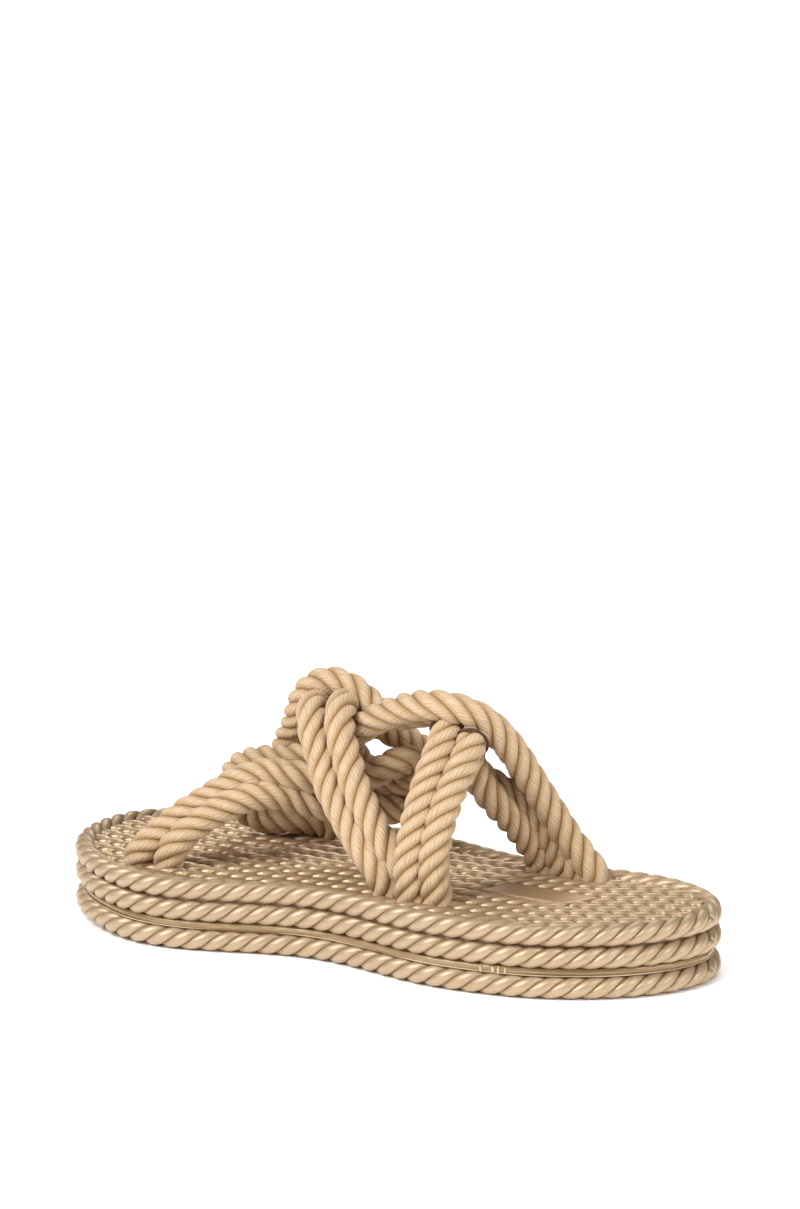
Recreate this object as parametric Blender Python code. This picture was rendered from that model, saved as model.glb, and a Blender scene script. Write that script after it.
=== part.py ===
"""Woven rope sandal: moulded outsole, moulded midsole with footbed, and an upper of six laid cords."""
import math

import bmesh
import bpy
from mathutils import Vector

MM = 0.001

# Driving sizes of the sole
LENGTH = 255.0
SIDE_SHIFT = -7.86
OUTSOLE_TOP = 8.0
SEAM = 0.3
BAND_TOP = 11.0
BAND_INSET = 3.0
BEAD_RADIUS = 4.1
BEAD_VALLEY = 2.4
FOOTBED_Z = 25.0
SPRING = 3.1
SPRING_START = 0.70
STATIONS = 40

# Driving sizes of the cords
CORD_RADIUS = 5.7
STRAND_RISE = 0.35
LAY_PITCH = 34.0
RING_STEP = 4.25
END_Z = 20.0
FIT = 0.5
SOCKET_TOP = 33.0
CORD_SIDES = 8
BORE_SIDES = 12

# Sole outline from heel to toe: share of the length, half width, side shift of the middle line
OUTLINE = (
    (0.00, 42.3, -7.7),
    (0.15, 42.3, -0.2),
    (0.35, 43.0, 7.2),
    (0.55, 45.6, -0.3),
    (0.75, 49.8, 11.3),
    (0.90, 45.9, 13.9),
    (1.00, 45.9, 12.7),
)
CAP = 0.22
HEEL_POWER = 1.93
TOE_POWER = 2.20

# Cord routes, a row per bend: x to the toe, y to the inner side, z up
CROSS_FRONT = (
    (-24.0, 23.0, END_Z), (-24.0, 23.0, 27.0), (-23.3, 23.0, 37.0), (-23.8, 21.5, 46.5),
    (-24.5, 18.0, 57.0), (-25.0, 11.5, 68.0), (-25.5, 4.0, 78.0), (-24.0, -3.5, 83.0),
    (-19.0, -11.0, 80.0), (-17.5, -16.5, 73.0), (-21.5, -21.5, 65.5), (-29.5, -25.0, 59.0),
    (-37.0, -28.5, 53.5), (-44.5, -32.0, 45.5), (-51.0, -34.5, 36.5), (-54.5, -35.5, 27.0),
    (-54.5, -35.5, END_Z),
)
CROSS_REAR = (
    (-33.5, 20.5, END_Z), (-33.5, 20.5, 27.0), (-32.5, 21.0, 38.0), (-32.8, 20.0, 46.5),
    (-33.6, 16.5, 56.5), (-34.7, 9.5, 67.5), (-35.4, 2.0, 76.0), (-34.0, -4.5, 80.0),
    (-30.5, -10.5, 77.5), (-27.5, -14.0, 70.0), (-30.0, -16.5, 61.5), (-35.5, -19.0, 53.5),
    (-40.0, -25.0, 45.0), (-44.0, -31.0, 35.5), (-46.5, -34.5, 27.0), (-46.5, -34.5, END_Z),
)
FAR_LOW = (
    (-70.0, -34.5, END_Z), (-69.5, -34.5, 26.5), (-64.5, -35.0, 32.0), (-59.0, -34.0, 38.5),
    (-55.0, -32.0, 45.5), (-51.0, -29.0, 53.5), (-47.5, -25.5, 61.5), (-44.5, -21.5, 69.5),
    (-41.0, -17.0, 77.5), (-36.5, -11.5, 85.0), (-30.5, -5.5, 90.0), (-22.5, -2.0, 92.0),
    (-12.0, -2.5, 90.5), (-2.0, -4.5, 87.0), (8.0, -6.5, 82.0), (18.0, -8.5, 75.5),
    (28.0, -10.0, 68.5), (38.0, -9.0, 63.5), (48.5, -6.5, 61.0), (60.0, -5.0, 59.5),
    (69.0, -6.0, 55.0), (74.0, -9.5, 46.5), (73.5, -14.5, 38.0), (68.5, -19.0, 33.0),
    (60.0, -24.0, 32.0), (52.0, -28.5, 32.0), (45.5, -32.5, 29.5), (41.0, -35.0, END_Z),
)
FAR_HIGH = (
    (-61.0, -35.5, END_Z), (-61.0, -35.5, 26.0), (-56.0, -37.0, 33.5), (-50.0, -37.5, 41.0),
    (-45.0, -36.5, 50.0), (-41.5, -34.5, 59.0), (-38.5, -30.5, 67.5), (-35.5, -25.0, 76.0),
    (-29.5, -19.5, 82.5), (-21.0, -15.5, 86.0), (-12.0, -14.0, 86.0), (-2.0, -14.5, 83.5),
    (7.0, -15.0, 82.0), (14.0, -14.5, 84.0), (20.5, -14.5, 88.5), (27.5, -14.0, 91.5),
    (34.0, -13.5, 91.8), (40.5, -13.0, 88.5), (45.5, -13.5, 81.5), (49.0, -16.0, 74.0),
    (54.0, -18.5, 66.5), (58.5, -22.5, 58.5), (60.5, -28.0, 50.0), (60.0, -33.0, 41.5),
    (57.0, -36.5, 34.0), (53.5, -38.0, 26.5), (52.5, -38.0, END_Z),
)
NEAR_FRONT = (
    (-12.5, 20.5, END_Z), (-12.5, 20.5, 26.5), (-9.0, 21.5, 34.0), (-3.0, 21.0, 40.5),
    (3.5, 19.0, 46.5), (10.0, 16.5, 53.0), (16.5, 13.5, 60.0), (22.0, 9.5, 68.0),
    (27.5, 6.0, 76.0), (32.0, 0.5, 83.0), (35.5, -7.0, 84.0), (35.5, -16.0, 81.5),
    (30.0, -25.0, 78.0), (20.0, -30.5, 72.5), (8.5, -33.0, 67.0), (-1.0, -33.0, 61.0),
    (-4.5, -32.0, 54.5), (-2.0, -28.5, 48.3), (5.5, -25.0, 44.2), (13.0, -20.5, 43.2),
    (21.0, -14.5, 44.0), (29.0, -7.0, 45.5), (37.0, 1.0, 48.5), (42.5, 6.5, 51.0),
    (47.5, 11.0, 51.5), (53.0, 15.5, 50.5), (59.0, 20.5, 47.0), (64.5, 25.5, 43.0),
    (69.5, 30.0, 38.0), (73.5, 32.5, 32.0), (75.5, 32.5, 26.0), (75.5, 32.5, END_Z),
)
NEAR_REAR = (
    (-18.0, 14.0, END_Z), (-18.0, 14.0, 26.0), (-15.5, 17.5, 34.0), (-11.3, 18.5, 41.5),
    (-5.8, 17.5, 48.0), (0.2, 15.5, 55.0), (5.8, 13.0, 62.0), (11.3, 9.0, 69.5),
    (16.3, 5.5, 77.5), (20.0, 0.0, 84.0), (22.5, -7.0, 86.0), (24.5, -12.5, 82.0),
    (27.0, -16.5, 75.5), (29.0, -19.5, 68.5), (27.5, -23.5, 61.0), (21.5, -26.0, 54.5),
    (13.5, -26.0, 52.0), (5.5, -25.5, 54.5), (-0.5, -22.5, 60.0), (0.5, -17.0, 65.0),
    (6.5, -13.0, 63.0), (13.0, -10.5, 59.0), (21.0, -7.0, 57.0),
    (29.5, -2.5, 57.0), (37.0, 2.5, 58.5), (43.0, 5.0, 59.0), (48.5, 7.5, 59.0),
    (54.0, 11.0, 57.5), (60.0, 15.5, 54.0), (66.5, 20.5, 49.0), (73.0, 25.5, 44.0),
    (79.5, 29.5, 38.0), (85.0, 32.5, 32.0), (88.5, 34.0, 26.5), (89.5, 34.5, END_Z),
)


def clear_scene():
    for item in list(bpy.data.objects):
        bpy.data.objects.remove(item, do_unlink=True)


def material(name, colour, roughness):
    made = bpy.data.materials.new(name)
    made.use_nodes = True
    shader = made.node_tree.nodes["Principled BSDF"]
    shader.inputs["Base Color"].default_value = (*colour, 1.0)
    shader.inputs["Roughness"].default_value = roughness
    return made


def add_object(name, mesh_data, finish):
    mesh = bpy.data.meshes.new(name)
    mesh_data.to_mesh(mesh)
    mesh_data.free()
    mesh.materials.append(finish)
    made = bpy.data.objects.new(name, mesh)
    bpy.context.scene.collection.objects.link(made)
    return made


def spline_slopes(knots, values):
    """Second derivatives of the natural cubic spline through the knots."""
    count = len(knots)
    upper = [0.0] * count
    right = [0.0] * count
    for i in range(1, count - 1):
        before = knots[i] - knots[i - 1]
        after = knots[i + 1] - knots[i]
        pivot = 2.0 * (before + after) - before * upper[i - 1]
        bend = 6.0 * ((values[i + 1] - values[i]) / after - (values[i] - values[i - 1]) / before)
        upper[i] = after / pivot
        right[i] = (bend - before * right[i - 1]) / pivot
    second = [0.0] * count
    for i in range(count - 2, 0, -1):
        second[i] = right[i] - upper[i] * second[i + 1]
    return second


def spline(knots, values, second, at):
    """Value of the natural cubic spline at one place."""
    i = 0
    while i < len(knots) - 2 and at > knots[i + 1]:
        i += 1
    span = knots[i + 1] - knots[i]
    a = (knots[i + 1] - at) / span
    b = (at - knots[i]) / span
    curve = ((a ** 3 - a) * second[i] + (b ** 3 - b) * second[i + 1]) * span * span / 6.0
    return a * values[i] + b * values[i + 1] + curve


SHARES = [row[0] for row in OUTLINE]
HALVES = [row[1] for row in OUTLINE]
MIDDLES = [row[2] for row in OUTLINE]
HALF_BEND = spline_slopes(SHARES, HALVES)
MIDDLE_BEND = spline_slopes(SHARES, MIDDLES)


def outline_at(share):
    """Middle and half width of the sole, closed by a rounded cap at the heel and at the toe."""
    half = spline(SHARES, HALVES, HALF_BEND, share)
    middle = spline(SHARES, MIDDLES, MIDDLE_BEND, share) + SIDE_SHIFT
    if share < CAP:
        half *= max(0.0, 1.0 - ((CAP - share) / CAP) ** HEEL_POWER) ** (1.0 / HEEL_POWER)
    if share > 1.0 - CAP:
        half *= max(0.0, 1.0 - ((share - 1.0 + CAP) / CAP) ** TOE_POWER) ** (1.0 / TOE_POWER)
    return middle, half


def sole_ring():
    """Points and outward normals once around the sole, the inner side first, then the outer side."""
    near = []
    far = []
    for i in range(STATIONS + 1):
        share = 0.5 - 0.5 * math.cos(math.pi * i / STATIONS)
        middle, half = outline_at(share)
        x = (share - 0.5) * LENGTH
        near.append(Vector((x, middle + half)))
        far.append(Vector((x, middle - half)))
    ring = near + far[-2:0:-1]
    normals = []
    count = len(ring)
    for i in range(count):
        along = (ring[(i + 1) % count] - ring[i - 1]).normalized()
        normals.append(Vector((-along.y, along.x)))
    return ring, normals


def lift(x):
    """Rise of the toe above the floor."""
    start = (SPRING_START - 0.5) * LENGTH
    if x <= start:
        return 0.0
    return SPRING * ((x - start) / ((1.0 - SPRING_START) * LENGTH)) ** 2


def sole_layer(profile):
    """Closed layer of the sole: rings from the bottom cap up the side to the top cap."""
    ring, normals = sole_ring()
    count = len(ring)
    data = bmesh.new()
    rows = []
    for inset, z in profile:
        row = []
        for point, normal in zip(ring, normals):
            place = point - normal * inset
            row.append(data.verts.new((place.x * MM, place.y * MM, (z + lift(place.x)) * MM)))
        rows.append(row)
    for low, high in zip(rows, rows[1:]):
        for i in range(count):
            j = (i + 1) % count
            data.faces.new((low[i], low[j], high[j], high[i]))
    for row in (rows[0], rows[-1]):
        data.faces.new((row[0], row[1], row[-1]))
        for i in range(1, STATIONS - 1):
            data.faces.new((row[i], row[i + 1], row[count - i - 1], row[count - i]))
        data.faces.new((row[STATIONS - 1], row[STATIONS], row[STATIONS + 1]))
    bmesh.ops.recalc_face_normals(data, faces=data.faces)
    return data


def bead(low, high, first, last, steps):
    """Rounded bead on the side between two heights, as inset and height rows."""
    middle = 0.5 * (low + high)
    radius = 0.5 * (high - low)
    rows = []
    for i in range(steps + 1):
        angle = math.radians(first + (last - first) * i / steps)
        rows.append((radius * (1.0 - math.cos(angle)), middle + radius * math.sin(angle)))
    return rows


def outsole_profile():
    rows = bead(0.0, OUTSOLE_TOP, -60.0, 60.0, 4)
    rows[0] = (rows[0][0] + 0.8, 0.0)
    rows[-1] = (rows[-1][0] + 0.8, OUTSOLE_TOP)
    return rows


def midsole_profile():
    middle = BAND_TOP + 2.0 * BEAD_RADIUS
    top = middle + 2.0 * BEAD_RADIUS
    rows = [(BAND_INSET, OUTSOLE_TOP + SEAM), (BAND_INSET, BAND_TOP)]
    rows += bead(BAND_TOP, middle, -64.0, 56.0, 4)
    rows.append((BEAD_VALLEY, middle))
    rows += bead(middle, top, -56.0, 146.0, 7)
    rows.append((2.0 * BEAD_RADIUS - 0.2, FOOTBED_Z))
    return rows


def route_points(route):
    """Places spaced evenly along the smooth curve through a cord's rows."""
    ends = [Vector(row) for row in route]
    ends = [ends[0] * 2.0 - ends[1]] + ends + [ends[-1] * 2.0 - ends[-2]]
    fine = []
    for i in range(1, len(ends) - 2):
        p0, p1, p2, p3 = ends[i - 1:i + 3]
        t1 = (p1 - p0).length ** 0.5
        t2 = t1 + (p2 - p1).length ** 0.5
        t3 = t2 + (p3 - p2).length ** 0.5
        for k in range(12):
            t = t1 + (t2 - t1) * k / 12.0
            a1 = p0 * ((t1 - t) / t1) + p1 * (t / t1)
            a2 = p1 * ((t2 - t) / (t2 - t1)) + p2 * ((t - t1) / (t2 - t1))
            a3 = p2 * ((t3 - t) / (t3 - t2)) + p3 * ((t - t2) / (t3 - t2))
            b1 = a1 * ((t2 - t) / t2) + a2 * (t / t2)
            b2 = a2 * ((t3 - t) / (t3 - t1)) + a3 * ((t - t1) / (t3 - t1))
            fine.append(b1 * ((t2 - t) / (t2 - t1)) + b2 * ((t - t1) / (t2 - t1)))
    fine.append(ends[-2])
    total = sum((b - a).length for a, b in zip(fine, fine[1:]))
    count = max(4, round(total / RING_STEP))
    places = [fine[0]]
    walked = 0.0
    for a, b in zip(fine, fine[1:]):
        piece = (b - a).length
        while len(places) < count and walked + piece >= total * len(places) / count:
            places.append(a.lerp(b, (total * len(places) / count - walked) / piece))
        walked += piece
    places.append(fine[-1])
    return places, total / count


def tube(places, lay_turn, radius, rise, sides):
    """Closed tube along the places, its strands raised and laid around it by a turn at each place."""
    data = bmesh.new()
    side = Vector((1.0, 0.0, 0.0))
    along = (places[1] - places[0]).normalized()
    side = (side - along * side.dot(along)).normalized()
    rings = []
    for i, place in enumerate(places):
        ahead = places[min(i + 1, len(places) - 1)]
        behind = places[max(i - 1, 0)]
        turned = (ahead - behind).normalized()
        side = along.rotation_difference(turned) @ side
        side = (side - turned * side.dot(turned)).normalized()
        along = turned
        other = along.cross(side)
        turn = i * lay_turn
        ring = []
        for k in range(sides):
            angle = 2.0 * math.pi * k / sides + turn
            reach = radius + (rise if k % 2 == 0 else -rise)
            spot = place + (side * math.cos(angle) + other * math.sin(angle)) * reach
            ring.append(data.verts.new(spot * MM))
        rings.append(ring)
    for low, high in zip(rings, rings[1:]):
        for k in range(sides):
            n = (k + 1) % sides
            data.faces.new((low[k], low[n], high[n], high[k]))
    data.faces.new(rings[0])
    data.faces.new(rings[-1])
    bmesh.ops.recalc_face_normals(data, faces=data.faces)
    bmesh.ops.triangulate(data, faces=data.faces)
    return data


def combine(target, tool, operation):
    """Take the tool into or out of the target and drop the tool."""
    step = target.modifiers.new(operation, "BOOLEAN")
    step.operation = operation
    step.solver = "EXACT"
    step.use_self = operation == "UNION"
    step.object = tool
    bpy.context.view_layer.update()
    evaluated = target.evaluated_get(bpy.context.evaluated_depsgraph_get())
    result = bpy.data.meshes.new_from_object(evaluated)
    target.modifiers.clear()
    target.data = result
    bpy.data.objects.remove(tool, do_unlink=True)


def main_shell(target):
    """Keep the largest shell: pockets sealed between cords fill, chips left between sockets go."""
    data = bmesh.new()
    data.from_mesh(target.data)
    waiting = set(data.faces)
    shells = []
    while waiting:
        shell = [waiting.pop()]
        for face in shell:
            for edge in face.edges:
                for other in edge.link_faces:
                    if other in waiting:
                        waiting.remove(other)
                        shell.append(other)
        shells.append(shell)
    shells.sort(key=len)
    for shell in shells[:-1]:
        bmesh.ops.delete(data, geom=shell, context="FACES")
    data.to_mesh(target.data)
    data.free()


clear_scene()
sole_finish = material("moulded sole", (0.55, 0.38, 0.20), 0.38)
tread_finish = material("moulded tread", (0.52, 0.36, 0.19), 0.42)
cord_finish = material("laid cotton cord", (0.75, 0.57, 0.33), 0.85)

# Outsole
outsole = add_object("outsole", sole_layer(outsole_profile()), tread_finish)

# Midsole with footbed
midsole = add_object("midsole_footbed", sole_layer(midsole_profile()), sole_finish)

# Cord upper
ROUTES = (CROSS_FRONT, CROSS_REAR, FAR_LOW, FAR_HIGH, NEAR_FRONT, NEAR_REAR)
for number, route in enumerate(ROUTES):
    places, step = route_points(route)
    shape = tube(places, 2.0 * math.pi * step / LAY_PITCH, CORD_RADIUS, STRAND_RISE, CORD_SIDES)
    if number == 0:
        upper = add_object("upper", shape, cord_finish)
    else:
        combine(upper, add_object("cord", shape, cord_finish), "UNION")
main_shell(upper)

# Sockets in the footbed, a little wider than the cord ends
for route in ROUTES:
    places, step = route_points(route)
    for end in (places, places[::-1]):
        foot = []
        for place in end:
            foot.append(place.copy())
            if place.z > SOCKET_TOP:
                break
        foot[0].z -= SEAM
        bore = tube(foot, 0.0, CORD_RADIUS + STRAND_RISE + FIT, 0.0, BORE_SIDES)
        combine(midsole, add_object("bore", bore, sole_finish), "DIFFERENCE")
main_shell(midsole)
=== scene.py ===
"""Looks of a woven rope sandal: moulded pearly sole, moulded footbed and an upper of laid cotton cords."""
import math

import bmesh
import bpy
from mathutils import Matrix, Vector


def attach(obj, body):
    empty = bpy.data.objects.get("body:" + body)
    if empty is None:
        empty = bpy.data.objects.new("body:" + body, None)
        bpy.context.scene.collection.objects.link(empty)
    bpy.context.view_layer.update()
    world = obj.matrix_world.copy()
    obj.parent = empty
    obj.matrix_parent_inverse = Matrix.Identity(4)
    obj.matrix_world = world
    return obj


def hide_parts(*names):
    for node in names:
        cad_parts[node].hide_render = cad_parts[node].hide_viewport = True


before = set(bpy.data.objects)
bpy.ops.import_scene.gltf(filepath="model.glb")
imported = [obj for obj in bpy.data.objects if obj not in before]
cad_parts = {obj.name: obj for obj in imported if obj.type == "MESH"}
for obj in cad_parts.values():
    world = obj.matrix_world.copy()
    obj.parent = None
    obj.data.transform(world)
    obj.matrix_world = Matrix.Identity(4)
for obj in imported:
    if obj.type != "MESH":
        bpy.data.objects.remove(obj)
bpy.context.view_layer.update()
MM = 0.001

# Sole outline
# All the layers of the moulded sole share one outline. It swings to the inner side at the toe, narrows at
# the waist and lifts a little off the floor in front of the ball of the foot. Sizes are in millimetres.
SOLE_LENGTH = 255.0
SIDE_SHIFT = -7.86
# Share of the length from the heel, half width, middle line
OUTLINE = (
    (0.00, 42.3, -7.7),
    (0.15, 42.3, -0.2),
    (0.35, 43.0, 7.2),
    (0.55, 45.6, -0.3),
    (0.75, 49.8, 11.3),
    (0.90, 45.9, 13.9),
    (1.00, 45.9, 12.7),
)
CAP_SHARE = 0.22
HEEL_ROUND = 1.93
TOE_ROUND = 2.20
TOE_SPRING = 3.1
SPRING_START = 0.70
OUTLINE_STATIONS = 240


def natural_spline(column):
    """Second derivatives of the smooth curve through one column of the outline."""
    knots = [row[0] for row in OUTLINE]
    values = [row[column] for row in OUTLINE]
    upper = [0.0] * len(knots)
    right = [0.0] * len(knots)
    for i in range(1, len(knots) - 1):
        before = knots[i] - knots[i - 1]
        after = knots[i + 1] - knots[i]
        pivot = 2.0 * (before + after) - before * upper[i - 1]
        bend = 6.0 * ((values[i + 1] - values[i]) / after - (values[i] - values[i - 1]) / before)
        upper[i] = after / pivot
        right[i] = (bend - before * right[i - 1]) / pivot
    second = [0.0] * len(knots)
    for i in range(len(knots) - 2, 0, -1):
        second[i] = right[i] - upper[i] * second[i + 1]
    return knots, values, second


HALF_WIDTH = natural_spline(1)
MIDDLE_LINE = natural_spline(2)


def spline_at(curve, share):
    """Value of a column of the outline at a share of the sole's length."""
    knots, values, second = curve
    i = 0
    while i < len(knots) - 2 and share > knots[i + 1]:
        i += 1
    span = knots[i + 1] - knots[i]
    a = (knots[i + 1] - share) / span
    b = (share - knots[i]) / span
    bow = ((a ** 3 - a) * second[i] + (b ** 3 - b) * second[i + 1]) * span * span / 6.0
    return a * values[i] + b * values[i + 1] + bow


def sole_width(x):
    """Middle and half width of the sole at x, in millimetres."""
    share = min(1.0, max(0.0, x / SOLE_LENGTH + 0.5))
    half = spline_at(HALF_WIDTH, share)
    if share < CAP_SHARE:
        half *= max(0.0, 1.0 - ((CAP_SHARE - share) / CAP_SHARE) ** HEEL_ROUND) ** (1.0 / HEEL_ROUND)
    if share > 1.0 - CAP_SHARE:
        reach = (share - 1.0 + CAP_SHARE) / CAP_SHARE
        half *= max(0.0, 1.0 - reach ** TOE_ROUND) ** (1.0 / TOE_ROUND)
    return spline_at(MIDDLE_LINE, share) + SIDE_SHIFT, half


def toe_lift(x):
    """Rise of the sole above the floor in front of the ball of the foot."""
    start = (SPRING_START - 0.5) * SOLE_LENGTH
    return TOE_SPRING * (max(0.0, x - start) / ((1.0 - SPRING_START) * SOLE_LENGTH)) ** 2


def sole_loop(inset):
    """Points once around the sole, set in from its edge."""
    edge = []
    for side in (1.0, -1.0):
        for i in range(OUTLINE_STATIONS):
            turn = math.pi * (i if side > 0 else OUTLINE_STATIONS - i) / OUTLINE_STATIONS
            x = -0.5 * math.cos(turn) * SOLE_LENGTH
            middle, half = sole_width(x)
            edge.append(Vector((x, middle + side * half, 0.0)))
    loop = []
    for i, point in enumerate(edge):
        along = (edge[(i + 1) % len(edge)] - edge[i - 1]).normalized()
        out = Vector((-along.y, along.x, 0.0))
        loop.append(point - out * inset)
    return loop


# Moulded beads of the sole
# The side of the sole is moulded as three laid ropes, one on the outsole and two on the midsole.
# Each is three plump strands that lean back towards the heel on the inner side.
BEAD_RADIUS = 4.1
BEAD_STRANDS = 3
BEAD_CORE = 2.15
BEAD_DEEP = BEAD_RADIUS - BEAD_CORE
BEAD_WIDE = 2.22
BEAD_LAY = 22.0
BEAD_HAND = -1.0
BEAD_STEP = 0.9
BEAD_SIDES = 16
LOOP_PLACES = 620
MERGE_WITHIN = 0.02
OUTSOLE_BEAD_Z = 4.1
LOWER_BEAD_Z = 15.1
UPPER_BEAD_Z = 23.3


def laid_cord(length, strands, core, deep, wide, lay, hand, step, sides):
    """Straight laid cord up the z axis, in millimetres: one strand swept on a screw, then copied around.

    The map called lay holds the way round each strand, from its outer crest, and the way along it."""
    data = bmesh.new()
    ring = bmesh.ops.create_circle(data, cap_ends=False, segments=sides, radius=1.0)["verts"]
    lean = math.atan2(2.0 * math.pi * core, lay)
    place = Matrix.Translation((core, 0.0, 0.0)) @ Matrix.Rotation(-hand * lean, 4, "X")
    bmesh.ops.transform(data, matrix=place @ Matrix.Diagonal((deep, wide, 1.0, 1.0)), verts=ring)
    steps = max(2, round(length / step))
    bmesh.ops.spin(
        data, geom=data.verts[:] + data.edges[:], cent=(0.0, 0.0, 0.0), axis=(0.0, 0.0, 1.0),
        dvec=(0.0, 0.0, length / steps), angle=hand * 2.0 * math.pi * length / lay, steps=steps)
    layer = data.loops.layers.uv.new("lay")
    for face in data.faces:
        rounds = []
        for loop in face.loops:
            spot = Matrix.Rotation(-hand * 2.0 * math.pi * loop.vert.co.z / lay, 3, "Z") @ loop.vert.co
            around = math.atan2(spot.y * math.cos(lean) / wide, (spot.x - core) / deep)
            rounds.append(around / (2.0 * math.pi) + 0.5)
        for loop, part in zip(face.loops, rounds):
            wrapped = part + 1.0 if max(rounds) - min(rounds) > 0.5 and part < 0.5 else part
            loop[layer].uv = (wrapped, loop.vert.co.z)
    first = data.verts[:] + data.edges[:] + data.faces[:]
    for k in range(1, strands):
        more = bmesh.ops.duplicate(data, geom=first)["geom"]
        turned = [item for item in more if isinstance(item, bmesh.types.BMVert)]
        spread = Matrix.Rotation(2.0 * math.pi * k / strands, 3, "Z")
        bmesh.ops.rotate(data, cent=(0.0, 0.0, 0.0), matrix=spread, verts=turned)
    return data


def even_walk(points, count):
    """Places that cut a line of points into a count of even steps, and the line's length."""
    reach = [0.0]
    for a, b in zip(points, points[1:]):
        reach.append(reach[-1] + (b - a).length)
    walk = []
    i = 0
    for k in range(count + 1):
        want = reach[-1] * k / count
        while i < len(points) - 2 and reach[i + 1] < want:
            i += 1
        part = (want - reach[i]) / max(1e-9, reach[i + 1] - reach[i])
        walk.append(points[i].lerp(points[i + 1], min(1.0, part)))
    return walk, reach[-1]


def bend_cord(data, frames, length):
    """Carry a straight cord onto its route: frames holds a place and two cross directions per step."""
    last = len(frames) - 1
    for vert in data.verts:
        at = vert.co.z / length * last
        i = min(last - 1, max(0, int(at)))
        part = at - i
        place, side, other = (a.lerp(b, part) for a, b in zip(frames[i], frames[i + 1]))
        vert.co = (place + side * vert.co.x + other * vert.co.y) * MM


def close_ends(data):
    """Merge the ends of a ring, or cap those of an open cord, and face the skin outwards."""
    bmesh.ops.remove_doubles(data, verts=data.verts, dist=MERGE_WITHIN * MM)
    open_edges = [edge for edge in data.edges if edge.is_boundary]
    bmesh.ops.holes_fill(data, edges=open_edges, sides=0)
    bmesh.ops.recalc_face_normals(data, faces=data.faces)


def add_piece(name, data, finish, *nodes):
    """Smooth piece of the object that rides on its body and stands for CAD nodes."""
    mesh = bpy.data.meshes.new(name)
    for face in data.faces:
        face.smooth = True
    data.to_mesh(mesh)
    data.free()
    mesh.materials.append(finish)
    piece = bpy.data.objects.new(name, mesh)
    bpy.context.scene.collection.objects.link(piece)
    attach(piece, "root")
    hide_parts(*nodes)
    return piece


def sole_bead(z):
    """One moulded rope around the sole at a height."""
    line = sole_loop(BEAD_RADIUS)
    line.append(line[0])
    walk, length = even_walk(line, LOOP_PLACES)
    frames = []
    for i, place in enumerate(walk):
        ahead = walk[i + 1] if i < len(walk) - 1 else walk[1]
        behind = walk[i - 1] if i > 0 else walk[-2]
        along = (ahead - behind).normalized()
        out = Vector((-along.y, along.x, 0.0))
        frames.append((place + Vector((0.0, 0.0, z + toe_lift(place.x))), out, Vector((0.0, 0.0, 1.0))))
    lay = length / round(length / BEAD_LAY)
    data = laid_cord(
        length, BEAD_STRANDS, BEAD_CORE, BEAD_DEEP, BEAD_WIDE, lay, BEAD_HAND, BEAD_STEP, BEAD_SIDES)
    bend_cord(data, frames, length)
    close_ends(data)
    return data


def colour(code):
    """Linear colour of an sRGB hex value."""
    parts = [int(code[i:i + 2], 16) / 255.0 for i in (1, 3, 5)]
    return [p / 12.92 if p <= 0.04045 else ((p + 0.055) / 1.055) ** 2.4 for p in parts] + [1.0]


def add_node(tree, kind, settings=(), inputs=()):
    """One node with its settings, and its inputs as values or as links."""
    made = tree.nodes.new(kind)
    for key, value in dict(settings).items():
        setattr(made, key, value)
    for key, value in dict(inputs).items():
        if isinstance(value, bpy.types.NodeSocket):
            tree.links.new(value, made.inputs[key])
        else:
            made.inputs[key].default_value = value
    return made


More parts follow.
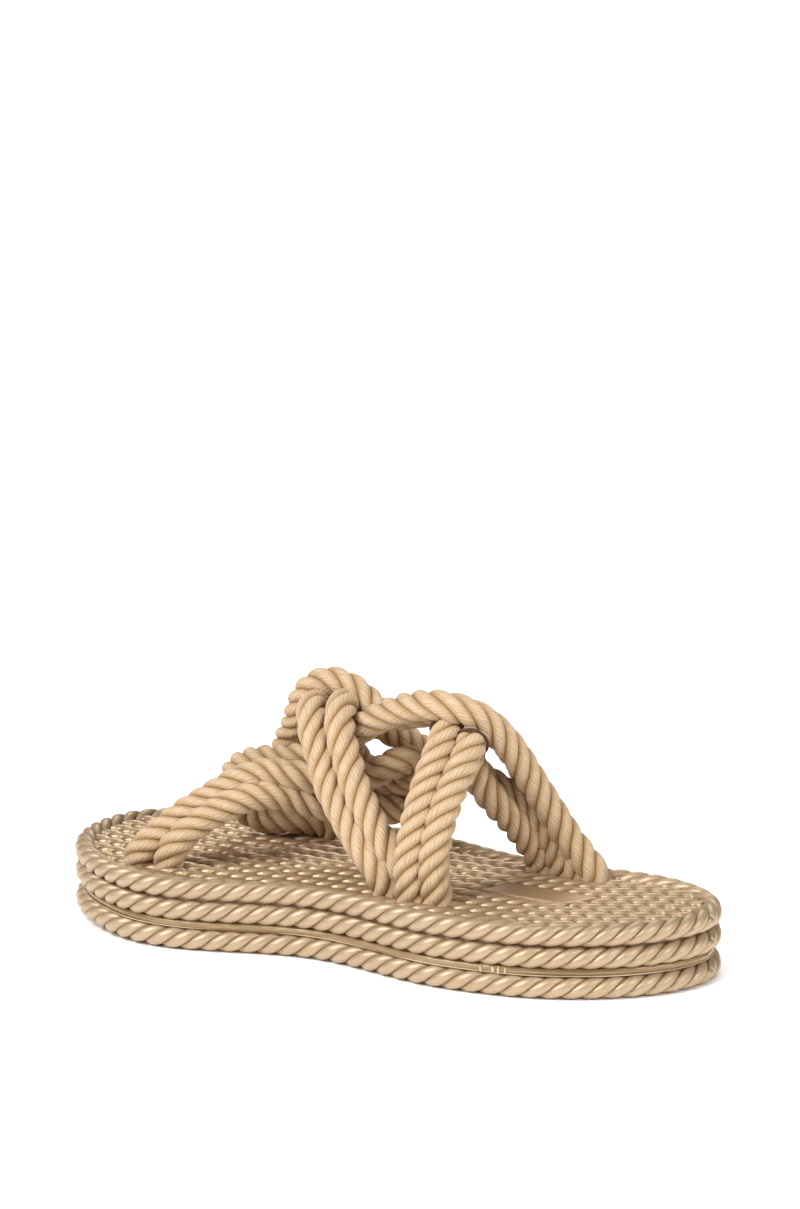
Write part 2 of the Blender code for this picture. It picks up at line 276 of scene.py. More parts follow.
def pearl_eva(name):
    """Moulded EVA foam with a pearl pigment: a satin, faintly metallic skin that shines on its crests.

    The grooves are painted a darker brown as shade; the skin drifts in tone, and its fine grain breaks up the
    shine."""
    # crest and drift are the EVA's own tones; the groove colour is painted shade.
    crest, drift, painted_groove_shade = "#BFA88B", "#AF9778", "#8E6F47"
    # The real grain is finer than a pixel of the picture, so it is drawn coarser.
    drift_size, grain_size, grain_depth = 14.0, 0.45, 0.12
    groove_shade_from, groove_shade_full = 0.19, 0.36
    smoothest, roughest = 0.38, 0.54
    made = bpy.data.materials.new(name)
    made.use_nodes = True
    tree = made.node_tree
    shader = tree.nodes["Principled BSDF"]
    lay = add_node(tree, "ShaderNodeUVMap", {"uv_map": "lay"})
    split = add_node(tree, "ShaderNodeSeparateXYZ", {}, {"Vector": lay.outputs["UV"]})
    turn = add_node(tree, "ShaderNodeMath", {"operation": "FRACT"}, {0: split.outputs["X"]})
    from_crest = add_node(tree, "ShaderNodeMath", {"operation": "SUBTRACT"}, {0: turn.outputs[0], 1: 0.5})
    away = add_node(tree, "ShaderNodeMath", {"operation": "ABSOLUTE"}, {0: from_crest.outputs[0]})
    # Painted shade: away from each strand's crest the skin turns to the darker groove colour.
    deep = add_node(tree, "ShaderNodeMapRange", {"interpolation_type": "SMOOTHSTEP"},
                    {"Value": away.outputs[0], "From Min": groove_shade_from, "From Max": groove_shade_full})
    spots = add_node(tree, "ShaderNodeTexCoord").outputs["Object"]
    cloud = add_node(tree, "ShaderNodeTexNoise", {},
                     {"Vector": spots, "Scale": 1.0 / (drift_size * MM), "Detail": 3.0})
    skin = add_node(tree, "ShaderNodeMix", {"data_type": "RGBA"},
                    {"Factor": cloud.outputs["Fac"], "A": colour(crest), "B": colour(drift)})
    tone = add_node(tree, "ShaderNodeMix", {"data_type": "RGBA"},
                    {"Factor": deep.outputs["Result"], "A": skin.outputs["Result"], "B": colour(painted_groove_shade)})
    tree.links.new(tone.outputs["Result"], shader.inputs["Base Color"])
    grain = add_node(tree, "ShaderNodeTexNoise", {},
                     {"Vector": spots, "Scale": 1.0 / (grain_size * MM), "Detail": 2.0})
    shine = add_node(tree, "ShaderNodeMapRange", {},
                     {"Value": grain.outputs["Fac"], "From Min": 0.3, "From Max": 0.7,
                      "To Min": smoothest, "To Max": roughest})
    tree.links.new(shine.outputs["Result"], shader.inputs["Roughness"])
    bump = add_node(tree, "ShaderNodeBump", {},
                    {"Height": grain.outputs["Fac"], "Strength": 0.35, "Distance": grain_depth * MM})
    tree.links.new(bump.outputs["Normal"], shader.inputs["Normal"])
    shader.inputs["Metallic"].default_value = 0.45
    shader.inputs["Coat Weight"].default_value = 0.2
    shader.inputs["Coat Roughness"].default_value = 0.3
    return made


sole_pearl = pearl_eva("pearl_moulded_eva")
for name, z, node, slot in (
        ("outsole_bead", OUTSOLE_BEAD_Z, "outsole", "tread"),
        ("midsole_lower_bead", LOWER_BEAD_Z, "midsole_footbed", "sole"),
        ("midsole_upper_bead", UPPER_BEAD_Z, "midsole_footbed", "sole")):
    add_piece(name, sole_bead(z), sole_pearl, node)

# Outsole and midsole bodies
# The two moulded slabs behind the beads. A recessed band shows between them where the outsole is
# cemented on: a thin line of cement runs along it, and a little has squeezed out and dried pale.
CORE_INSET = 4.3
BAND_INSET = 2.9
OUTSOLE_TOP = 8.0
BAND_BOTTOM = 8.3
BAND_TOP = 11.0
MIDSOLE_BOTTOM = 10.0
MIDSOLE_TOP = 23.0
BROAD_HALF_WIDTH = 46.0
SLAB_CELLS_LONG = 150
SLAB_CELLS_WIDE = 24
CEMENT_RADIUS = 0.2
CEMENT_SIDES = 8
CEMENT_PROUD = 0.1
CEMENT_RISE = 0.25
CEMENT_SWELL = 0.35
# Radians a millimetre: along and across the shoe for the short swells, along it for the long ones
SWELL_SHORT_X, SWELL_SHORT_Y, SWELL_LONG_X = 0.11, 0.07, 0.043
# Place along the shoe, half width, half height
CEMENT_RUNS = ((-61.5, 0.45, 1.5), (-66.0, 0.7, 1.2), (-68.0, 0.5, 1.7), (-70.5, 0.4, 1.3))
RUN_DEEP = 0.45


def sole_slab(bottom, top, inset):
    """Closed slab of the sole's outline between two heights, set in from the edge."""
    data = bmesh.new()
    bmesh.ops.create_grid(data, x_segments=SLAB_CELLS_LONG, y_segments=SLAB_CELLS_WIDE, size=1.0)
    reach = 0.5 * SOLE_LENGTH - inset
    for vert in data.verts:
        x = math.sin(0.5 * math.pi * vert.co.x) * reach
        middle, half = sole_width(x * 0.5 * SOLE_LENGTH / reach)
        inner = half * (1.0 - inset / BROAD_HALF_WIDTH)
        vert.co = (x, middle + vert.co.y * inner, bottom + toe_lift(x))
    lifted = bmesh.ops.extrude_face_region(data, geom=data.faces[:], use_keep_orig=True)["geom"]
    raised = [item for item in lifted if isinstance(item, bmesh.types.BMVert)]
    bmesh.ops.translate(data, vec=(0.0, 0.0, top - bottom), verts=raised)
    bmesh.ops.scale(data, vec=(MM, MM, MM), verts=data.verts)
    bmesh.ops.recalc_face_normals(data, faces=data.faces)
    return data


def smooth_eva(name):
    """The smooth wall of the slabs: the same pearl EVA, wiped with cement that dried in pale streaks; wall
    and streaks are painted darker as shade in the recess behind the beads.
    """
    # Painted shade: the wall colour is the pearl EVA darkened for the recess behind the beads, and the cement
    # streaks with it.
    painted_shade_wall, streak = "#8F7350", "#AC926D"
    streak_long, streak_high, streak_depth = 18.0, 1.6, 0.4
    made = bpy.data.materials.new(name)
    made.use_nodes = True
    tree = made.node_tree
    shader = tree.nodes["Principled BSDF"]
    spots = add_node(tree, "ShaderNodeTexCoord").outputs["Object"]
    flat = 1.0 / (streak_long * MM)
    drawn = add_node(tree, "ShaderNodeMapping", {},
                     {"Vector": spots, "Scale": (flat, flat, 1.0 / (streak_high * MM))})
    smear = add_node(tree, "ShaderNodeTexNoise", {},
                     {"Vector": drawn.outputs["Vector"], "Scale": 1.0, "Detail": 5.0, "Roughness": 0.6})
    pale = add_node(tree, "ShaderNodeMapRange", {},
                    {"Value": smear.outputs["Fac"], "From Min": 0.42, "From Max": 0.68})
    skin = add_node(tree, "ShaderNodeMix", {"data_type": "RGBA"},
                    {"Factor": pale.outputs["Result"], "A": colour(painted_shade_wall), "B": colour(streak)})
    tree.links.new(skin.outputs["Result"], shader.inputs["Base Color"])
    bump = add_node(tree, "ShaderNodeBump", {},
                    {"Height": smear.outputs["Fac"], "Strength": 0.6, "Distance": streak_depth * MM})
    tree.links.new(bump.outputs["Normal"], shader.inputs["Normal"])
    shader.inputs["Metallic"].default_value = 0.2
    shader.inputs["Roughness"].default_value = 0.34
    shader.inputs["Coat Weight"].default_value = 0.3
    shader.inputs["Coat Roughness"].default_value = 0.2
    return made


def cement_line():
    """Thin line of dried cement around the seam, a little uneven."""
    data = bmesh.new()
    bmesh.ops.create_circle(data, cap_ends=False, segments=CEMENT_SIDES, radius=CEMENT_RADIUS)
    line = sole_loop(BAND_INSET - CEMENT_PROUD)
    line.append(line[0])
    walk, length = even_walk(line, LOOP_PLACES)
    bmesh.ops.spin(
        data, geom=data.verts[:] + data.edges[:], cent=(0.0, 0.0, 0.0), axis=(0.0, 0.0, 1.0),
        dvec=(0.0, 0.0, length / LOOP_PLACES), angle=0.0, steps=LOOP_PLACES)
    frames = []
    for i, place in enumerate(walk):
        ahead = walk[i + 1] if i < len(walk) - 1 else walk[1]
        behind = walk[i - 1] if i > 0 else walk[-2]
        along = (ahead - behind).normalized()
        short = math.sin(SWELL_SHORT_X * place.x + SWELL_SHORT_Y * place.y)
        swell = 1.0 + CEMENT_SWELL * short * math.sin(SWELL_LONG_X * place.x)
        rise = Vector((0.0, 0.0, BAND_BOTTOM + CEMENT_RISE + toe_lift(place.x)))
        frames.append((place + rise, Vector((-along.y, along.x, 0.0)) * swell, Vector((0.0, 0.0, swell))))
    bend_cord(data, frames, length)
    close_ends(data)
    return data


def cement_drips():
    """Small runs of cement that dried across the band on the inner side, near the heel."""
    data = bmesh.new()
    for x, wide, tall in CEMENT_RUNS:
        drop = bmesh.ops.create_uvsphere(data, u_segments=12, v_segments=8, radius=1.0)["verts"]
        middle, half = sole_width(x)
        y = middle + half - BAND_INSET + CEMENT_PROUD
        place = Vector((x, y, 0.5 * (BAND_BOTTOM + BAND_TOP) - CEMENT_PROUD)) * MM
        shape = Matrix.Diagonal((wide * MM, RUN_DEEP * MM, tall * MM, 1.0))
        bmesh.ops.transform(data, matrix=Matrix.Translation(place) @ shape, verts=drop)
    return data


wall_finish = smooth_eva("smooth_cemented_eva")
add_piece("outsole_slab", sole_slab(0.0, OUTSOLE_TOP, CORE_INSET), wall_finish, "outsole")
add_piece("midsole_slab", sole_slab(MIDSOLE_BOTTOM, MIDSOLE_TOP, CORE_INSET), wall_finish,
                  "midsole_footbed")
add_piece("cemented_band", sole_slab(BAND_BOTTOM, BAND_TOP, BAND_INSET), wall_finish,
                  "midsole_footbed")
cement = bpy.data.materials.new("dried_cement")
cement.use_nodes = True
cement_shader = cement.node_tree.nodes["Principled BSDF"]
cement_shader.inputs["Base Color"].default_value = colour("#C9B594")
cement_shader.inputs["Roughness"].default_value = 0.35
add_piece("cement_line", cement_line(), cement, "midsole_footbed")
add_piece("cement_drips", cement_drips(), cement, "midsole_footbed")

# Footbed
# The top of the midsole, moulded in EVA as rows of laid rope along the foot, a little below the upper
# bead. A smooth slanted plate at the heel is left plain.
ROW_SPACING = 7.8
ROW_VALLEY_Y = SIDE_SHIFT
ROW_STRANDS = 3
ROW_CORE = 2.0
ROW_STRAND = 2.05
ROW_LAY = 19.5
ROW_HEIGHT = 2.3
VALLEY_Z = 23.6
PLATE_FROM = -79.5
PLATE_TO = -41.5
PLATE_HEIGHT = 0.72
PLATE_SLANT = 0.54
PLATE_EDGE = 1.5
ROWS_MADE = 14
LENGTH_MADE = 0.98
ROW_CELLS = 14
LAY_CELLS = 30
EDGE_HIDDEN = 5.0


def footbed_height(x, y):
    """Height of the moulded rope rows above their valleys, from 0 to 1."""
    across = (y - ROW_VALLEY_Y) / ROW_SPACING
    row = math.floor(across)
    off = (across - row - 0.5) * ROW_SPACING
    high = 0.0
    for k in range(ROW_STRANDS):
        turn = 2.0 * math.pi * (x / ROW_LAY + k / ROW_STRANDS)
        aside = off - ROW_CORE * math.sin(turn)
        if abs(aside) < ROW_STRAND:
            top = ROW_CORE * math.cos(turn) + math.sqrt(ROW_STRAND ** 2 - aside ** 2)
            high = max(high, top / (ROW_CORE + ROW_STRAND))
    plate = x - PLATE_SLANT * (y - ROW_VALLEY_Y)
    if row in (-1, 0) and PLATE_FROM < plate < PLATE_TO:
        edge = min(plate - PLATE_FROM, PLATE_TO - plate, ROW_SPACING - abs(y - ROW_VALLEY_Y))
        high = PLATE_HEIGHT * min(1.0, edge / PLATE_EDGE)
    return high


data = bmesh.new()
cells_x = round(LENGTH_MADE * SOLE_LENGTH * LAY_CELLS / ROW_LAY)
cells_y = ROWS_MADE * ROW_CELLS
bmesh.ops.create_grid(data, x_segments=cells_x, y_segments=cells_y, size=1.0)
height_layer = data.verts.layers.float.new("height")
outside = []
for vert in data.verts:
    x = vert.co.x * 0.5 * LENGTH_MADE * SOLE_LENGTH
    y = ROW_VALLEY_Y + vert.co.y * 0.5 * ROWS_MADE * ROW_SPACING + ROW_SPACING
    middle, half = sole_width(x * SOLE_LENGTH / (SOLE_LENGTH - 2.0 * EDGE_HIDDEN))
    if abs(y - middle) > half - EDGE_HIDDEN:
        outside.append(vert)
    high = footbed_height(x, y)
    vert[height_layer] = high
    vert.co = Vector((x, y, VALLEY_Z + ROW_HEIGHT * high + toe_lift(x))) * MM
bmesh.ops.delete(data, geom=outside, context="VERTS")


def polished_eva(name):
    """The footbed's pearl EVA, polished in the mould: browner than the side, with a clear glossy skin, and
    painted darker down in the valleys between the rows as shade.
    """
    crest, painted_valley_shade = "#C0A584", "#6F563A"
    # Drawn coarser than it is, as on the beads.
    grain_size, grain_depth = 0.6, 0.1
    made = bpy.data.materials.new(name)
    made.use_nodes = True
    tree = made.node_tree
    shader = tree.nodes["Principled BSDF"]
    high = add_node(tree, "ShaderNodeAttribute", {"attribute_name": "height"})
    # Painted shade: the low parts of the rows, by their height, take the darker valley colour.
    raised = add_node(tree, "ShaderNodeMapRange", {"interpolation_type": "SMOOTHSTEP"},
                      {"Value": high.outputs["Fac"], "From Min": 0.1, "From Max": 0.75})
    skin = add_node(tree, "ShaderNodeMix", {"data_type": "RGBA"},
                    {"Factor": raised.outputs["Result"], "A": colour(painted_valley_shade), "B": colour(crest)})
    tree.links.new(skin.outputs["Result"], shader.inputs["Base Color"])
    spots = add_node(tree, "ShaderNodeTexCoord").outputs["Object"]
    grain = add_node(tree, "ShaderNodeTexNoise", {},
                     {"Vector": spots, "Scale": 1.0 / (grain_size * MM), "Detail": 2.0})
    bump = add_node(tree, "ShaderNodeBump", {},
                    {"Height": grain.outputs["Fac"], "Strength": 0.2, "Distance": grain_depth * MM})
    tree.links.new(bump.outputs["Normal"], shader.inputs["Normal"])
    shader.inputs["Metallic"].default_value = 0.65
    shader.inputs["Roughness"].default_value = 0.4
    shader.inputs["Coat Weight"].default_value = 0.2
    shader.inputs["Coat Roughness"].default_value = 0.12
    return made


add_piece("footbed", data, polished_eva("pearl_polished_eva"), "midsole_footbed")

# Cords of the upper
# Soft cotton rope of four strands, laid to the right. Each cord starts and ends in a socket of the
# footbed; the six cords pass over and under one another in the knot, two and two side by side.
CORD_RADIUS = 5.85
CORD_STRANDS = 4
CORD_CORE = 3.35
CORD_DEEP = CORD_RADIUS - CORD_CORE
CORD_WIDE = 2.25
CORD_LAY = 25.6
CORD_HAND = 1.0
CORD_STEP = 1.0
CORD_SIDES = 18
CORD_PLACES = 300
ROUTE_POINTS = 16
END_Z = 20.0
# Length from the first end over which the lay is looser, radians a millimetre that it is untwisted by
CORD_SLACK = {
    "cross_front_cord": (0.0, 0.0),
    "cross_rear_cord": (0.0, 0.0),
    "far_low_cord": (150.0, 0.05),
    "far_high_cord": (150.0, 0.05),
    "near_front_cord": (90.0, 0.045),
    "near_rear_cord": (90.0, 0.045),
}
# Places that the middle of each cord passes through: x, y, z
CORD_ROUTES = {
    "cross_front_cord": (
        (-24.0, 23.0, END_Z), (-24.0, 23.0, 27.0), (-23.3, 23.0, 37.0), (-23.8, 21.5, 46.5),
        (-24.5, 18.0, 57.0), (-25.0, 11.5, 68.0), (-25.5, 4.0, 78.0), (-24.0, -3.5, 83.0),
        (-19.0, -11.0, 80.0), (-17.5, -16.5, 73.0), (-21.5, -21.5, 65.5), (-29.5, -25.0, 59.0),
        (-37.0, -28.5, 53.5), (-44.5, -32.0, 45.5), (-51.0, -34.5, 36.5), (-54.5, -35.5, 27.0),
        (-54.5, -35.5, END_Z),
    ),
    "cross_rear_cord": (
        (-33.5, 20.5, END_Z), (-33.5, 20.5, 27.0), (-32.5, 21.0, 38.0), (-32.8, 20.0, 46.5),
        (-33.6, 16.5, 56.5), (-34.7, 9.5, 67.5), (-35.4, 2.0, 76.0), (-34.0, -4.5, 80.0),
        (-30.5, -10.5, 77.5), (-27.5, -14.0, 70.0), (-30.0, -16.5, 61.5), (-35.5, -19.0, 53.5),
        (-40.0, -25.0, 45.0), (-44.0, -31.0, 35.5), (-46.5, -34.5, 27.0), (-46.5, -34.5, END_Z),
    ),
    "far_low_cord": (
        (-70.0, -34.5, END_Z), (-69.5, -34.5, 26.5), (-64.5, -35.0, 32.0), (-59.0, -34.0, 38.5),
        (-55.0, -32.0, 45.5), (-51.0, -29.0, 53.5), (-47.5, -25.5, 61.5), (-44.5, -21.5, 69.5),
        (-41.0, -17.0, 77.5), (-36.5, -11.5, 85.0), (-30.5, -5.5, 90.0), (-22.5, -2.0, 92.0),
        (-12.0, -2.5, 90.5), (-2.0, -4.5, 87.0), (8.0, -6.5, 82.0), (18.0, -8.5, 75.5),
        (28.0, -10.0, 68.5), (38.0, -9.0, 63.5), (48.5, -6.5, 61.0), (60.0, -5.0, 59.5),
        (69.0, -6.0, 55.0), (74.0, -9.5, 46.5), (73.5, -14.5, 38.0), (68.5, -19.0, 33.0),
        (60.0, -24.0, 32.0), (52.0, -28.5, 32.0), (45.5, -32.5, 29.5), (41.0, -35.0, END_Z),
    ),
    "far_high_cord": (
        (-61.0, -35.5, END_Z), (-61.0, -35.5, 26.0), (-56.0, -37.0, 33.5), (-50.0, -37.5, 41.0),
        (-45.0, -36.5, 50.0), (-41.5, -34.5, 59.0), (-38.5, -30.5, 67.5), (-35.5, -25.0, 76.0),
        (-29.5, -19.5, 82.5), (-21.0, -15.5, 86.0), (-12.0, -14.0, 86.0), (-2.0, -14.5, 83.5),
        (7.0, -15.0, 82.0), (14.0, -14.5, 84.0), (20.5, -14.5, 88.5), (27.5, -14.0, 91.5),
        (34.0, -13.5, 91.8), (40.5, -13.0, 88.5), (45.5, -13.5, 81.5), (49.0, -16.0, 74.0),
        (54.0, -18.5, 66.5), (58.5, -22.5, 58.5), (60.5, -28.0, 50.0), (60.0, -33.0, 41.5),
        (57.0, -36.5, 34.0), (53.5, -38.0, 26.5), (52.5, -38.0, END_Z),
    ),
    "near_front_cord": (
        (-12.5, 20.5, END_Z), (-12.5, 20.5, 26.5), (-9.0, 21.5, 34.0), (-3.0, 21.0, 40.5),
        (3.5, 19.0, 46.5), (10.0, 16.5, 53.0), (16.5, 13.5, 60.0), (22.0, 9.5, 68.0),
        (27.5, 6.0, 76.0), (32.0, 0.5, 83.0), (35.5, -7.0, 84.0), (35.5, -16.0, 81.5),
        (30.0, -25.0, 78.0), (20.0, -30.5, 72.5), (8.5, -33.0, 67.0), (-1.0, -33.0, 61.0),
        (-4.5, -32.0, 54.5), (-2.0, -28.5, 48.3), (5.5, -25.0, 44.2), (13.0, -20.5, 43.2),
        (21.0, -14.5, 44.0), (29.0, -7.0, 45.5), (37.0, 1.0, 48.5), (42.5, 6.5, 51.0),
        (47.5, 11.0, 51.5), (53.0, 15.5, 50.5), (59.0, 20.5, 47.0), (64.5, 25.5, 43.0),
        (69.5, 30.0, 38.0), (73.5, 32.5, 32.0), (75.5, 32.5, 26.0), (75.5, 32.5, END_Z),
    ),
    "near_rear_cord": (
        (-18.0, 14.0, END_Z), (-18.0, 14.0, 26.0), (-15.5, 17.5, 34.0), (-11.3, 18.5, 41.5),
        (-5.8, 17.5, 48.0), (0.2, 15.5, 55.0), (5.8, 13.0, 62.0), (11.3, 9.0, 69.5),
        (16.3, 5.5, 77.5), (20.0, 0.0, 84.0), (22.5, -7.0, 86.0), (24.5, -12.5, 82.0),
        (27.0, -16.5, 75.5), (29.0, -19.5, 68.5), (27.5, -23.5, 61.0), (21.5, -26.0, 54.5),
        (13.5, -26.0, 52.0), (5.5, -25.5, 54.5), (-0.5, -22.5, 60.0), (0.5, -17.0, 65.0),
        (6.5, -13.0, 63.0), (13.0, -10.5, 59.0), (21.0, -7.0, 57.0),
        (29.5, -2.5, 57.0), (37.0, 2.5, 58.5), (43.0, 5.0, 59.0), (48.5, 7.5, 59.0),
        (54.0, 11.0, 57.5), (60.0, 15.5, 54.0), (66.5, 20.5, 49.0), (73.0, 25.5, 44.0),
        (79.5, 29.5, 38.0), (85.0, 32.5, 32.0), (88.5, 34.0, 26.5), (89.5, 34.5, END_Z),
    ),
}


def smooth_route(rows):
    """Fine points on the smooth curve through a cord's rows."""
    ends = [Vector(row) for row in rows]
    ends = [ends[0] * 2.0 - ends[1]] + ends + [ends[-1] * 2.0 - ends[-2]]
    fine = []
    for i in range(1, len(ends) - 2):
        p0, p1, p2, p3 = ends[i - 1:i + 3]
        t1 = (p1 - p0).length ** 0.5
        t2 = t1 + (p2 - p1).length ** 0.5
        t3 = t2 + (p3 - p2).length ** 0.5
        for k in range(ROUTE_POINTS):
            t = t1 + (t2 - t1) * k / ROUTE_POINTS
            a1 = p0 * ((t1 - t) / t1) + p1 * (t / t1)
            a2 = p1 * ((t2 - t) / (t2 - t1)) + p2 * ((t - t1) / (t2 - t1))
            a3 = p2 * ((t3 - t) / (t3 - t2)) + p3 * ((t - t2) / (t3 - t2))
            b1 = a1 * ((t2 - t) / t2) + a2 * (t / t2)
            b2 = a2 * ((t3 - t) / (t3 - t1)) + a3 * ((t - t1) / (t3 - t1))
            fine.append(b1 * ((t2 - t) / (t2 - t1)) + b2 * ((t - t1) / (t2 - t1)))
    fine.append(ends[-2])
    return fine


def cord_frames(rows, slack_reach, slack_rate):
    """Places along a cord with two cross directions that turn as little as they can.

    Over the first slack_reach millimetres the cord is untwisted by slack_rate radians a millimetre."""
    walk, length = even_walk(smooth_route(rows), CORD_PLACES)
    side = Vector((1.0, 0.0, 0.0))
    along = (walk[1] - walk[0]).normalized()
    frames = []
    for i, place in enumerate(walk):
        ahead = walk[min(i + 1, len(walk) - 1)]
        behind = walk[max(i - 1, 0)]
        turned = (ahead - behind).normalized()
        side = along.rotation_difference(turned) @ side
        side = (side - turned * side.dot(turned)).normalized()
        along = turned
        untwist = -slack_rate * min(slack_reach, length * i / (len(walk) - 1))
        loose = Matrix.Rotation(untwist, 3, along) @ side
        frames.append((place, loose, along.cross(loose)))
    return frames, length


def laid_cotton(name):
    """Soft cotton rope: matt yarns nearly along the rope, pale on the crests, with painted shade that darkens
    the flanks and turns golden brown in the grooves.
    """
    crest, painted_flank_shade, painted_groove_shade, fibre_and_furrow_shade = "#D2B99B", "#C0A079", "#8A5E26", "#A58250"
    # Thirteen yarns around a strand are about 1.1 mm wide; finer fibres are left to the streaks and the felt.
    yarns = 13.0
    yarn_turns_per_mm = 0.075
    streaks_per_yarn, streaks_per_mm = 3.0, 0.12
    stray_size, felt_size, relief_depth = 2.857, 0.9, 0.6
    made = bpy.data.materials.new(name)
    made.use_nodes = True
    tree = made.node_tree
    shader = tree.nodes["Principled BSDF"]
    lay = add_node(tree, "ShaderNodeUVMap", {"uv_map": "lay"})
    split = add_node(tree, "ShaderNodeSeparateXYZ", {}, {"Vector": lay.outputs["UV"]})
    around = split.outputs["X"]
    along = split.outputs["Y"]
    turn = add_node(tree, "ShaderNodeMath", {"operation": "FRACT"}, {0: around})
    offset = add_node(tree, "ShaderNodeMath", {"operation": "SUBTRACT"}, {0: turn.outputs[0], 1: 0.5})
    away = add_node(tree, "ShaderNodeMath", {"operation": "ABSOLUTE"}, {0: offset.outputs[0]})
    # Painted shade: away from each strand's crest the colour darkens to the flank colour, then to the golden
    # brown groove colour.
    side = add_node(tree, "ShaderNodeMapRange", {"interpolation_type": "SMOOTHSTEP"},
                    {"Value": away.outputs[0], "From Min": 0.05, "From Max": 0.24})
    deep = add_node(tree, "ShaderNodeMapRange", {"interpolation_type": "SMOOTHSTEP"},
                    {"Value": away.outputs[0], "From Min": 0.20, "From Max": 0.36})
    body = add_node(tree, "ShaderNodeMix", {"data_type": "RGBA"},
                    {"Factor": side.outputs["Result"], "A": colour(crest), "B": colour(painted_flank_shade)})
    skin = add_node(tree, "ShaderNodeMix", {"data_type": "RGBA"},
                    {"Factor": deep.outputs["Result"], "A": body.outputs["Result"], "B": colour(painted_groove_shade)})
    ringed = add_node(tree, "ShaderNodeMath", {"operation": "MULTIPLY"}, {0: around, 1: yarns})
    phase = add_node(tree, "ShaderNodeMath", {"operation": "MULTIPLY_ADD"},
                     {0: along, 1: yarn_turns_per_mm * yarns, 2: ringed.outputs[0]})
    spots = add_node(tree, "ShaderNodeTexCoord").outputs["Object"]
    stray = add_node(tree, "ShaderNodeTexNoise", {},
                     {"Vector": spots, "Scale": 1.0 / (stray_size * MM), "Detail": 3.0})
    wobble = add_node(tree, "ShaderNodeMath", {"operation": "MULTIPLY_ADD"},
                      {0: stray.outputs["Fac"], 1: 0.9, 2: phase.outputs[0]})
    radians = add_node(tree, "ShaderNodeMath", {"operation": "MULTIPLY"},
                       {0: wobble.outputs[0], 1: 2.0 * math.pi})
    wave = add_node(tree, "ShaderNodeMath", {"operation": "SINE"}, {0: radians.outputs[0]})
    streak_at = add_node(tree, "ShaderNodeCombineXYZ", {}, {"X": phase.outputs[0], "Y": along})
    streak_map = add_node(tree, "ShaderNodeMapping", {},
                          {"Vector": streak_at.outputs["Vector"],
                           "Scale": (streaks_per_yarn, streaks_per_mm, 1.0)})
    streak = add_node(tree, "ShaderNodeTexNoise", {},
                      {"Vector": streak_map.outputs["Vector"], "Scale": 1.0, "Detail": 4.0})
    # Partly painted shade: the darker fibre colour follows random streaks, and also the furrows between the
    # yarns, where shade falls.
    streak_and_furrow_shade = add_node(tree, "ShaderNodeMath", {"operation": "MULTIPLY_ADD"},
                      {0: wave.outputs[0], 1: 0.07, 2: streak.outputs["Fac"]})
    thread = add_node(tree, "ShaderNodeMapRange", {},
                      {"Value": streak_and_furrow_shade.outputs[0], "From Min": 0.58, "From Max": 0.34, "To Max": 0.5})
    tone = add_node(tree, "ShaderNodeMix", {"data_type": "RGBA"},
                    {"Factor": thread.outputs["Result"], "A": skin.outputs["Result"], "B": colour(fibre_and_furrow_shade)})
    tree.links.new(tone.outputs["Result"], shader.inputs["Base Color"])
    felt = add_node(tree, "ShaderNodeTexNoise", {},
                    {"Vector": spots, "Scale": 1.0 / (felt_size * MM), "Detail": 4.0, "Roughness": 0.7})
    yarn_relief = add_node(tree, "ShaderNodeMath", {"operation": "MULTIPLY_ADD"},
                           {0: wave.outputs[0], 1: 0.35, 2: streak.outputs["Fac"]})
    relief = add_node(tree, "ShaderNodeMath", {"operation": "ADD"},
                      {0: yarn_relief.outputs[0], 1: felt.outputs["Fac"]})
    bump = add_node(tree, "ShaderNodeBump", {},
                    {"Height": relief.outputs[0], "Strength": 0.4, "Distance": relief_depth * MM})
    tree.links.new(bump.outputs["Normal"], shader.inputs["Normal"])
    shader.inputs["Roughness"].default_value = 0.85
    shader.inputs["Specular IOR Level"].default_value = 0.2
    shader.inputs["Sheen Weight"].default_value = 0.15
    shader.inputs["Sheen Roughness"].default_value = 0.5
    return made


cotton = laid_cotton("laid_cotton_rope")
for name, rows in CORD_ROUTES.items():
    frames, length = cord_frames(rows, *CORD_SLACK[name])
    data = laid_cord(
        length, CORD_STRANDS, CORD_CORE, CORD_DEEP, CORD_WIDE, CORD_LAY, CORD_HAND, CORD_STEP, CORD_SIDES)
    bend_cord(data, frames, length)
    close_ends(data)
    add_piece(name, data, cotton, "upper")

# Binding threads
# Brown waxed thread, tied around each cord of the cross strap where it slips under the far arc, and dark to
# stand for the shade along that line too.
# One turn a cord, drawn tight and pressed into the strands.
THREAD_RADIUS = 0.6
THREAD_TURN = CORD_RADIUS + 0.15
THREAD_SIDES = 10
THREAD_STEPS = 48
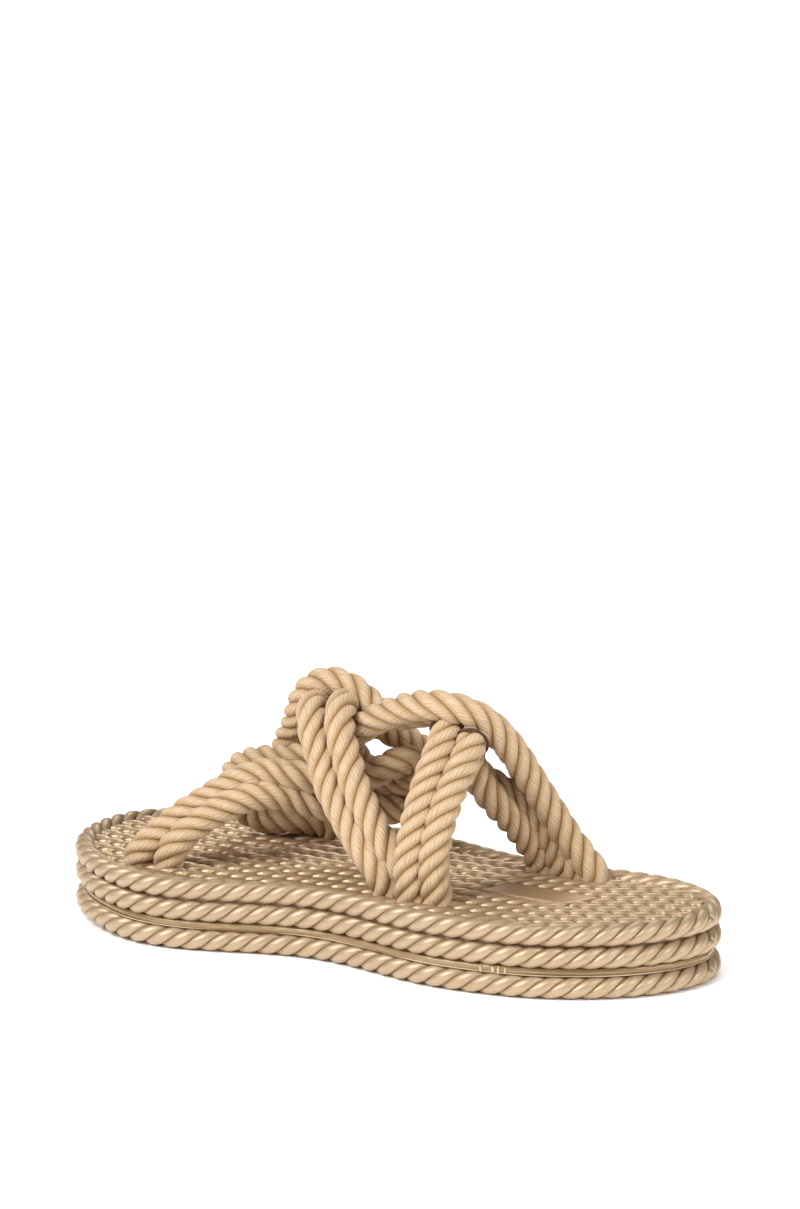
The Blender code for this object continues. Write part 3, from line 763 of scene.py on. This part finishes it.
# Partly painted shade: the dark thread colour also stands for the shade where the cross cords slip under the
# far arc.
dark_thread_and_shade = bpy.data.materials.new("brown_thread_and_painted_shade")
dark_thread_and_shade.use_nodes = True
waxed_shader = dark_thread_and_shade.node_tree.nodes["Principled BSDF"]
waxed_shader.inputs["Base Color"].default_value = colour("#4A2D14")
waxed_shader.inputs["Roughness"].default_value = 0.6
for name, cord, tie in (
        ("front_thread_and_shade", "cross_front_cord", Vector((-24.3, -2.5, 82.4))),
        ("rear_thread_and_shade", "cross_rear_cord", Vector((-34.4, -3.0, 79.3)))):
    frames, length = cord_frames(CORD_ROUTES[cord], *CORD_SLACK[cord])
    place, side, other = min(frames, key=lambda found: (found[0] - tie).length)
    data = bmesh.new()
    ring = bmesh.ops.create_circle(
        data, cap_ends=False, segments=THREAD_SIDES, radius=THREAD_RADIUS * MM)["verts"]
    stand = Matrix.Translation((THREAD_TURN * MM, 0.0, 0.0)) @ Matrix.Rotation(0.5 * math.pi, 4, "X")
    bmesh.ops.transform(data, matrix=stand, verts=ring)
    bmesh.ops.spin(
        data, geom=data.verts[:] + data.edges[:], cent=(0.0, 0.0, 0.0), axis=(0.0, 0.0, 1.0),
        angle=2.0 * math.pi, steps=THREAD_STEPS, use_merge=True)
    turned = Matrix((side, other, side.cross(other))).transposed().to_4x4()
    bmesh.ops.transform(data, matrix=Matrix.Translation(place * MM) @ turned, verts=data.verts)
    bmesh.ops.recalc_face_normals(data, faces=data.faces)
    add_piece(name, data, dark_thread_and_shade, "upper")

# Floor
# A plain white studio table, matt and flat.
# It runs out of the picture on every side and the shoe stands on it.
FLOOR_HALF = 15.0
data = bmesh.new()
bmesh.ops.create_grid(data, x_segments=1, y_segments=1, size=FLOOR_HALF)
floor_mesh = bpy.data.meshes.new("floor")
data.to_mesh(floor_mesh)
data.free()
floor = bpy.data.objects.new("floor", floor_mesh)
bpy.context.scene.collection.objects.link(floor)
floor_finish = bpy.data.materials.new("white_table")
floor_finish.use_nodes = True
floor_shader = floor_finish.node_tree.nodes["Principled BSDF"]
floor_shader.inputs["Base Color"].default_value = colour("#FFFFFF")
floor_shader.inputs["Roughness"].default_value = 0.9
floor_shader.inputs["Specular IOR Level"].default_value = 0.1
floor_mesh.materials.append(floor_finish)

# Light
# A dim white room with one large soft light high on the viewer's side, towards the toe. Soft boxes behind
# the shoe, at its heel and by the viewer draw its highlights, and a wash that reaches the table alone
# keeps it white.
world = bpy.data.worlds.new("white_room")
world.use_nodes = True
world.node_tree.nodes["Background"].inputs["Color"].default_value = colour("#FFF4E8")
world.node_tree.nodes["Background"].inputs["Strength"].default_value = 0.2
bpy.context.scene.world = world
bpy.context.scene.view_settings.view_transform = "Standard"
SHOE_MIDDLE = Vector((0.0, 0.0, 0.04))
# Name, kind, place, angle or side, strength or watts
for name, kind, place, size, power in (
        ("table_wash", "SUN", (0.0, 0.0, 1.5), 0.9, 1.6),
        ("sky_panel", "SUN", (0.42, 0.9, 1.1), 0.6, 2.8),
        ("back_box", "AREA", (0.45, -1.0, 1.15), 0.6, 5.0),
        ("heel_box", "AREA", (-1.2, 0.2, 0.8), 0.7, 9.0),
        ("viewer_box", "AREA", (0.3, 1.5, 0.6), 0.9, 3.0)):
    lamp = bpy.data.lights.new(name, kind)
    lamp.energy = power
    if kind == "SUN":
        lamp.angle = size
    else:
        lamp.size = size
    holder = bpy.data.objects.new(name, lamp)
    holder.location = place
    holder.rotation_euler = (SHOE_MIDDLE - Vector(place)).to_track_quat("-Z", "Y").to_euler()
    bpy.context.scene.collection.objects.link(holder)
    if name == "table_wash":
        holder.light_linking.receiver_collection = bpy.data.collections.new("table_only")
        holder.light_linking.receiver_collection.objects.link(floor)

# Camera
# Seen from the inner side, a little behind the middle and a little above, as in the photograph.
EYE = Vector((-0.65088, 1.08393, 0.40187))
AIM = Vector((-0.00126, -0.00786, 0.12621))
camera = bpy.data.objects.new("camera", bpy.data.cameras.new("camera"))
camera.data.lens = 105.585
camera.data.sensor_width = 36.0
camera.location = EYE
camera.rotation_euler = (AIM - EYE).to_track_quat("-Z", "Y").to_euler()
bpy.context.scene.collection.objects.link(camera)
bpy.context.scene.camera = camera
